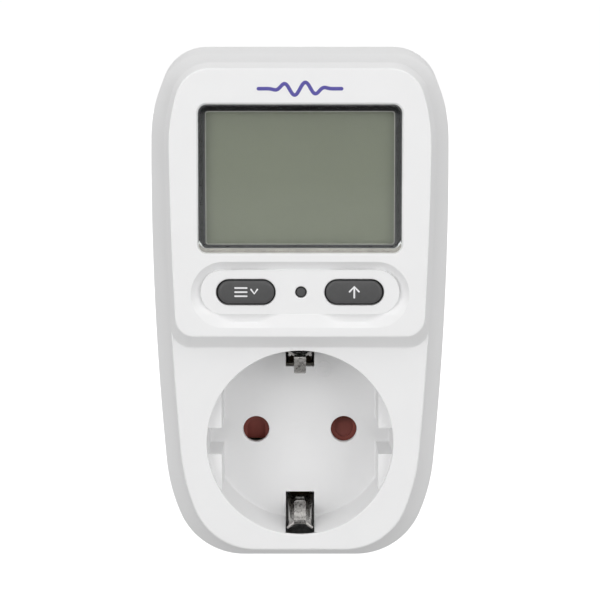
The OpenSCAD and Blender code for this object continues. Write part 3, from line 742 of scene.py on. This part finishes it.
def back_cover():
    """The back shell: its sides, the screw holes, the label's recess and the plug's boss."""
    skin = Skin()
    taper, edge_r, inner = 0.4, 2.5, 2.9
    rows = [(0.5, SPLIT_D + 0.1), (PARTING, SPLIT_D + 0.05), (0.02, SPLIT_D + 0.2),
            (0.0, SPLIT_D + 0.3), (taper, BACK_D - edge_r)]
    for a in np.radians([12, 25, 38, 50, 62, 74, 84, 90]):
        rows.append((taper + 2.1 * (1 - math.cos(a)), BACK_D - edge_r + edge_r * math.sin(a)))
    rows.append((inner, BACK_D))
    skin.rows([ring("case", inset) for inset, _ in rows], [d for _, d in rows])
    screws = [lambda grow, p=p: circle(SCREW_HOLE_R + grow, p, 32) for p in SCREWS]
    recess = lambda grow: soft_rect(38, 30, 1.5, (0, 52), grow)
    support = LIP + MARGIN
    boss_foot = 0.5
    skin.sheet(ring("case", inner),
               [*[s(support) for s in screws], recess(support), boss_outline(boss_foot)],
               flat_at(BACK_D), facing=1)
    for screw in screws:
        rims = [(support, 0.0), (LIP, 0.0), (LIP * 0.293, LIP * 0.293), (0.0, LIP)]
        skin.rows([screw(g) for g, _ in rims] + [screw(0), screw(-1.2)],
                  [BACK_D - d for _, d in rims] + [SPLIT_D + 4, SPLIT_D + 4])
    skin.rows([recess(support), recess(LIP), recess(0.06), recess(0.0)],
              [BACK_D, BACK_D, BACK_D - 0.06, BACK_D - LABEL_RECESS])
    skin.sheet(recess(0.0), [], flat_at(BACK_D - LABEL_RECESS), facing=1)
    foot = [(boss_foot * (1 - math.sin(a)), BACK_D + boss_foot * (1 - math.cos(a)))
            for a in np.radians([0, 20, 40, 60, 80, 90])]
    tip = 0.7
    nose = [(-tip * (1 - math.cos(a)), PLUG_D - tip + tip * math.sin(a))
            for a in np.radians([0, 20, 40, 60, 80, 90])]
    profile = foot + nose + [(-tip - 0.1, PLUG_D)]
    skin.rows([boss_outline(g) for g, _ in profile], [d for _, d in profile])
    pins = [lambda grow, s=s: circle(3.2 + grow, (s * PIN_X, 0), 40) for s in (-1, 1)]
    skin.sheet(boss_outline(-tip - 0.1), [pin(0.2) for pin in pins], flat_at(PLUG_D), facing=1)
    for pin in pins:
        skin.rows([pin(0.2), pin(0.06), pin(0.0), pin(0.0)],
                  [PLUG_D, PLUG_D - 0.02, PLUG_D - 0.14, PLUG_D - 2.2])
    return skin


# ---- plates, keys, prints and springs -------------------------------------------------------

def rounded_plate(skin, outline, front, back, r_front, r_back=0.1, dome=0.0):
    """A plate from outline(grow), between two depths, with an edge radius each and a domed front."""
    centre = outline(0).mean(0)
    rows, depths = [], []
    for a in np.linspace(math.pi / 2, 0, 6):
        rows.append(outline(-r_front * (1 - math.cos(a))))
        depths.append(front + r_front * (1 - math.sin(a)))
    for a in np.linspace(0, math.pi / 2, 3):
        rows.append(outline(-r_back * (1 - math.cos(a))))
        depths.append(back - r_back * (1 - math.sin(a)))
    made = skin.rows(rows, depths)
    for row, d, lift in ((made[0], front, dome), (made[-1], back, 0.0)):
        places = np.array([(skin.points[i][0], skin.points[i][2]) for i in row])
        last = row
        for f in (0.93, 0.85, 0.7, 0.5, 0.28) if lift else (0.99, 0.97, 0.5):
            smaller = skin.row(centre + (places - centre) * f, d - lift * (1 - f * f))
            skin.bridge(last, smaller)
            last = smaller
        middle = skin.add([(centre[0], d - lift, centre[1])])[0]
        for i, corner in enumerate(last):
            skin.face([corner, last[(i + 1) % len(last)], middle])


def key_centre(side):
    """The middle of a long key's cap, which sits a little inward and high on its flange."""
    return np.array((side * (KEY_X - KEY_SHIFT), KEY_Z + KEY_SHIFT))


def key_cap(name, side):
    """A long key: a domed cap with soft edges on its flange and stem."""
    skin = Skin()
    cap = lambda grow: stadium(*KEY_CAP, key_centre(side), grow)
    flange = lambda grow: stadium(*KEY_FLANGE, (side * KEY_X, KEY_Z), grow)
    stem = lambda grow: circle(1.5 + grow, (side * KEY_X, KEY_Z), 32)
    rounded_plate(skin, cap, KEY_FRONT, -1.6, 0.55, 0.05, dome=KEY_DOME)
    rounded_plate(skin, flange, -1.8, -1.0, 0.1)
    rounded_plate(skin, stem, -1.1, 0.3, 0.02)
    return skin.build(name, FINISH["key_grey"], turn_out=True)


def key_face(side):
    """The depth_of of a long key's domed front."""
    def depth(points):
        inward = stadium_depth(points, *KEY_CAP, key_centre(side)) / (KEY_CAP[1] / 2)
        f = np.clip(1 - inward, 0, 1)
        return KEY_FRONT - KEY_DOME * (1 - f * f)
    return depth


def reset_key():
    """The small round key, with its flange and stem."""
    skin = Skin()
    for r, front, back, edge in ((0.95, -3.1, -1.6, 0.2), (1.8, -1.8, -1.0, 0.08),
                                 (0.95, -1.1, 0.3, 0.02)):
        rounded_plate(skin, lambda grow: circle(r + grow, (RESET_X, KEY_Z), 32), front, back, edge)
    return skin.build("key_reset", FINISH["key_grey"], turn_out=True)


def window_lens():
    skin = Skin()
    rounded_plate(skin, lambda grow: soft_rect(*LENS, 1.8, (0, WINDOW_Z), grow),
                  LENS_FRONT, LENS_BACK, 0.22)
    return skin.build("window_lens", ACRYLIC, turn_out=True)


def flat_ring(name, outer, inner, front, back, finish):
    """A thin flat ring between two outlines."""
    skin = Skin()
    for d, facing in ((front, -1), (back, 1)):
        skin.sheet(outer, [inner], flat_at(d), facing=facing)
    for loop in (outer, inner):
        skin.rows([loop, loop], [front, back])
    return skin.build(name, finish, turn_out=True)


def moved(points, centre):
    return [(centre[0] + x, centre[1] + z) for x, z in points]


def flat_strokes(name, strokes, width, depth_of, finish):
    """Printed strokes of even width with round ends, lying just proud of a surface."""
    thick, sunk = 0.03, 0.02
    skin = Skin()
    for path in strokes:
        path = np.array(path, float)
        way = np.gradient(path, axis=0)
        way /= np.linalg.norm(way, axis=1)[:, None]
        side = np.stack([-way[:, 1], way[:, 0]], 1) * width / 2
        left, right = path + side, path - side
        heads = []
        for p, w in ((path[-1], way[-1]), (path[0], -way[0])):
            start = math.atan2(w[0], -w[1])
            turn = start - math.pi * np.arange(1, 8) / 8
            heads.append(p + width / 2 * np.stack([np.cos(turn), np.sin(turn)], 1))
        loop = np.concatenate([left, heads[0], right[::-1], heads[1]])
        skin.sheet(loop, [], lambda p: depth_of(p) - thick)
        skin.rows([loop, loop], [depth_of(loop) - thick, depth_of(loop) + sunk])
    return skin.build(name, finish)


def corners_cut(path, times=3):
    """A polyline with its corners rounded off by repeated cutting."""
    path = np.array(path, float)
    for _ in range(times):
        a, b = path[:-1], path[1:]
        mid = np.stack([a * 0.75 + b * 0.25, a * 0.25 + b * 0.75], 1).reshape(-1, path.shape[1])
        path = np.concatenate([path[:1], mid, path[-1:]])
    return path


def spaced(path, step):
    """The same polyline with points at even distances, and each point's distance along it."""
    run = np.concatenate([[0], np.cumsum(np.linalg.norm(np.diff(path, axis=0), axis=1))])
    stops = np.linspace(0, run[-1], max(2, int(round(run[-1] / step)) + 1))
    return np.stack([np.interp(stops, run, path[:, k]) for k in range(path.shape[1])], 1), stops


def earth_clip(name, way):
    """A bent spring: a windowed strip along the slot, its front edge arched into two curled wings,
    and a tongue that folds back from the arch and slopes into the well."""
    leg = [(24.9, 16.3), (23.5, 15.9), (21.8, 16.1), (14, 17.3), (8, 17.95), (5.2, 18.1), (4.3, 17.95)]
    tongue = [(4.3, 17.95), (4.0, 17.75), (3.86, 17.2), (4.4, 16.3), (6.9, 14.0), (7.6, 13.9)]
    work = bmesh.new()

    def strip(path, half_of, columns, lift, hollow):
        points, stops = spaced(corners_cut(path), 0.3)
        grid = []
        for (d, z), s in zip(points, stops):
            half = half_of(d, s, stops[-1])
            grid.append([work.verts.new(at(x * half, d, way * (z + lift(d, abs(x * half)))))
                         for x in columns])
        for i in range(len(grid) - 1):
            d = (points[i][0] + points[i + 1][0]) / 2
            for j in range(len(columns) - 1):
                if not hollow(d, (columns[j] + columns[j + 1]) / 2):
                    work.faces.new([grid[i][j], grid[i][j + 1], grid[i + 1][j + 1], grid[i + 1][j]])

    def leg_half(d, s, total):
        return 2.3 + 0.35 * smooth((d - 8) / 12) + 0.4 * (1 - smooth((d - 4.3) / 0.9))

    def wing(d, x):
        fold = (1 - smooth((d - 4.6) / 1.6)) * max(0, x - 1.15) * 0.72
        flange = -0.5 * smooth((x - 1.9) / 0.4) * smooth((d - 6.4) / 1.5)
        return fold + flange

    def tongue_half(d, s, total):
        left_over = 1 - (total - s) / 0.9
        return 1.25 * (1 - 0.5 * max(0, left_over) ** 2.2)

    side = np.array([-1, -0.93, -0.86, -0.79, -0.7, -0.6, -0.5, -0.35, 0])
    side = np.concatenate([side, -side[-2::-1]])
    strip(leg, leg_half, side, wing, lambda d, x: 5.6 < d < 21.8 and abs(x) < 0.35)
    strip(tongue, tongue_half, side, lambda d, x: 0, lambda d, x: False)
    bmesh.ops.remove_doubles(work, verts=work.verts, dist=2e-5)
    mesh = bpy.data.meshes.new(name)
    work.to_mesh(mesh)
    work.free()
    mesh.materials.append(FINISH["nickel"])
    obj = bpy.data.objects.new(name, mesh)
    bpy.context.scene.collection.objects.link(obj)
    thick = obj.modifiers.new("thick", "SOLIDIFY")
    thick.thickness, thick.offset = 0.5 * MM, 0
    soft = obj.modifiers.new("soft", "BEVEL")
    soft.width, soft.segments, soft.limit_method = 0.12 * MM, 2, "ANGLE"
    soft.angle_limit = math.radians(50)
    mesh.polygons.foreach_set("use_smooth", [True] * len(mesh.polygons))
    return obj


def soften(node, width):
    """Softens the edges of a CAD node, whose mesh stays as it is."""
    bevel = frame["nodes"][node].modifiers.new("soft", "BEVEL")
    bevel.width, bevel.segments = width * MM, 2
    bevel.limit_method, bevel.angle_limit = "ANGLE", math.radians(35)
    bevel.harden_normals = True
    bevel.use_clamp_overlap = True


# ---- the pieces -----------------------------------------------------------------------------

front = front_cover()
socket_well(front)
floor_marks(front)
place(front.build("front_shell", WHITE), "housing", "case_abs", "front_cover")
place(back_cover().build("back_shell", WHITE), "housing", "case_abs", "back_cover")
lens = place(window_lens(), "housing", "lens_acrylic", "display_lens")
lens.visible_shadow = False

border = flat_ring("window_border", soft_rect(41.7, 29.15, 1.9, (0, WINDOW_Z + 0.575)),
                   soft_rect(39.8, 27.8, 0.8, (0, WINDOW_Z + 0.1)), -2.69, -2.62, BLACK_INK)
place(border, "housing", "frame_black")
# Painted shade: a thin grey ring on the white ledge along the lens's edge, standing for the ledge's
# shadow under the lens.
ledge_shade = flat_ring("ledge_shade_ring", soft_rect(41.84, 30.44, 1.78, (0, WINDOW_Z)),
                 soft_rect(41.62, 29.6, 1.55, (0, WINDOW_Z + 0.4)), -2.68, -2.62, LEDGE_SHADE_GREY)
place(ledge_shade, "housing", "case_abs")
# The display film's cut edge: a real edge, drawn as a light grey ring whose brightness is a painted
# highlight of the light it catches.
film_glint = flat_ring("film_edge_glint", soft_rect(39.1, 27.5, 0.6, (0.02, WINDOW_Z)),
                 soft_rect(38.8, 27.2, 0.5, (0.02, WINDOW_Z)), -0.68, -0.61, FILM_EDGE_GLINT)
place(film_glint, "housing", "lcd")

place(key_cap("key_left", -1), "mode_button", "key_grey", "mode_key")
place(key_cap("key_right", 1), "up_button", "key_grey", "up_key")
place(reset_key(), "reset_button", "key_grey", "reset_key")
for name, way in (("top", 1), ("bottom", -1)):
    place(earth_clip("spring_" + name, way), "earth_spring_" + name, "nickel", "earth_clip_" + name)

for node, width in (("shutter", 0.18), ("contact_carrier", 0.2), ("lcd_frame", 0.15),
                    ("case_screws", 0.12), ("line_pin", 0.1), ("neutral_pin", 0.1),
                    ("plug_earth_top", 0.12), ("plug_earth_bottom", 0.12), ("rating_label", 0.02),
                    ("main_pcb", 0.1), ("smoothing_capacitor", 0.3), ("film_capacitor", 0.4),
                    ("metering_chip", 0.1)):
    soften(node, width)

left, right = (-KEY_X, KEY_Z + 0.1), (KEY_X, KEY_Z + 0.1)
bars = [moved([(x, z) for x in np.linspace(-2.2, 0.2, 12)], left) for z in (-0.85, 0, 0.85)]
tick = moved([(1.1, 0.55), (1.75, -0.35), (2.4, 0.55)], left)
icon = flat_strokes("icon_menu", [*bars, tick], 0.34, key_face(-1), ICON_WHITE)
place(icon, "mode_button", "key_grey")
shaft = moved([(0, z) for z in np.linspace(-1.15, 0.95, 12)], right)
head = moved([(-0.95, 0.1), (0, 1.1), (0.95, 0.1)], right)
icon = flat_strokes("icon_up", [shaft, head], 0.36, key_face(1), ICON_WHITE)
place(icon, "up_button", "key_grey")

MARK_Z = 74.1
wave = [(x, 1.3 * math.sin(x * math.pi / 2.2) * math.exp(-(x / 4.6) ** 4))
        for x in np.linspace(-8.5, 8.5, 120)]
mark = flat_strokes("front_mark", [moved(wave, (0, MARK_Z))], 0.74, flat_at(-PANEL_RISE), VIOLET)
place(mark, "housing", "case_abs")

# ---- stage, light and camera ----------------------------------------------------------------

scene = bpy.context.scene
scene.view_settings.view_transform = "Standard"
scene.view_settings.look = "None"

FLOOR_Z = -0.0268
floor = bpy.data.meshes.new("floor")
floor.from_pydata([(-3, -3, 0), (3, -3, 0), (3, 3, 0), (-3, 3, 0)], [], [(0, 1, 2, 3)])
floor = bpy.data.objects.new("floor", floor)
scene.collection.objects.link(floor)
floor.location.z = FLOOR_Z
paper = material("paper", (0.9, 0.9, 0.9), 0.8, Emission_Strength=0.75)
paper.node_tree.nodes["Principled BSDF"].inputs["Emission Color"].default_value = (1, 1, 1, 1)
floor.data.materials.append(paper)
floor.visible_diffuse = floor.visible_glossy = floor.visible_shadow = False

# The room is white ahead of the camera, grey round the object and dark right behind the camera.
world = bpy.data.worlds.new("room")
world.use_nodes = True
scene.world = world
tree = world.node_tree
tree.nodes.clear()
where = tree.nodes.new("ShaderNodeTexCoord")
split = tree.nodes.new("ShaderNodeSeparateXYZ")
tree.links.new(where.outputs["Generated"], split.inputs["Vector"])
half = tree.nodes.new("ShaderNodeMath")
half.operation = "MULTIPLY_ADD"
half.inputs[1].default_value = half.inputs[2].default_value = 0.5
tree.links.new(split.outputs["Y"], half.inputs[0])
ramp = tree.nodes.new("ShaderNodeValToRGB")
dark, grey, white = 0.05, 0.492, 1.02
stops = [(0.0, dark), (0.005, dark), (0.009, grey), (0.965, grey), (0.982, white), (1.0, white)]
for _ in stops[2:]:
    ramp.color_ramp.elements.new(0.5)
for element, (position, level) in zip(ramp.color_ramp.elements, stops):
    element.position, element.color = position, (level, level, level, 1)
tree.links.new(half.outputs[0], ramp.inputs["Fac"])
seen = tree.nodes.new("ShaderNodeMix")
seen.data_type = "RGBA"
seen.inputs["B"].default_value = (white, white, white, 1)
tree.links.new(tree.nodes.new("ShaderNodeLightPath").outputs["Is Camera Ray"], seen.inputs["Factor"])
tree.links.new(ramp.outputs["Color"], seen.inputs["A"])
sky = tree.nodes.new("ShaderNodeBackground")
tree.links.new(seen.outputs["Result"], sky.inputs["Color"])
end = tree.nodes.new("ShaderNodeOutputWorld")
tree.links.new(sky.outputs["Background"], end.inputs["Surface"])

TARGET = Vector((0, -PLUG_D * MM, 0.0302))
LAMP_DISTANCE = 1.2
LAMP_SIZE = 0.6


def lamp(name, azimuth, height, power):
    """A soft square lamp, placed by its direction from the front of the meter."""
    a, h = math.radians(azimuth), math.radians(height)
    way = Vector((math.sin(a) * math.cos(h), -math.cos(a) * math.cos(h), math.sin(h)))
    data = bpy.data.lights.new(name, "AREA")
    data.size, data.energy = LAMP_SIZE, power
    obj = bpy.data.objects.new(name, data)
    scene.collection.objects.link(obj)
    obj.location = TARGET + way * LAMP_DISTANCE
    obj.rotation_euler = (-way).to_track_quat("-Z", "Y").to_euler()


for name, azimuth, height, power in (
        ("front_raised", 0, 20, 0.72), ("overhead", 0, 80, 1.64), ("left_low", -35, 10, 3.0),
        ("left_high", -40, 45, 1.16), ("right_low", 35, 10, 2.5), ("right_high", 40, 45, 1.54)):
    lamp(name, azimuth, height, power)

pitch, distance = math.radians(6.5), 0.480
camera = bpy.data.cameras.new("camera")
camera.lens, camera.sensor_width, camera.clip_start = 138.36, 36, 0.01
camera = bpy.data.objects.new("camera", camera)
scene.collection.objects.link(camera)
camera.location = TARGET + Vector((0, -math.cos(pitch), math.sin(pitch))) * distance
camera.rotation_euler = (math.pi / 2 - pitch, 0, 0)
scene.camera = camera
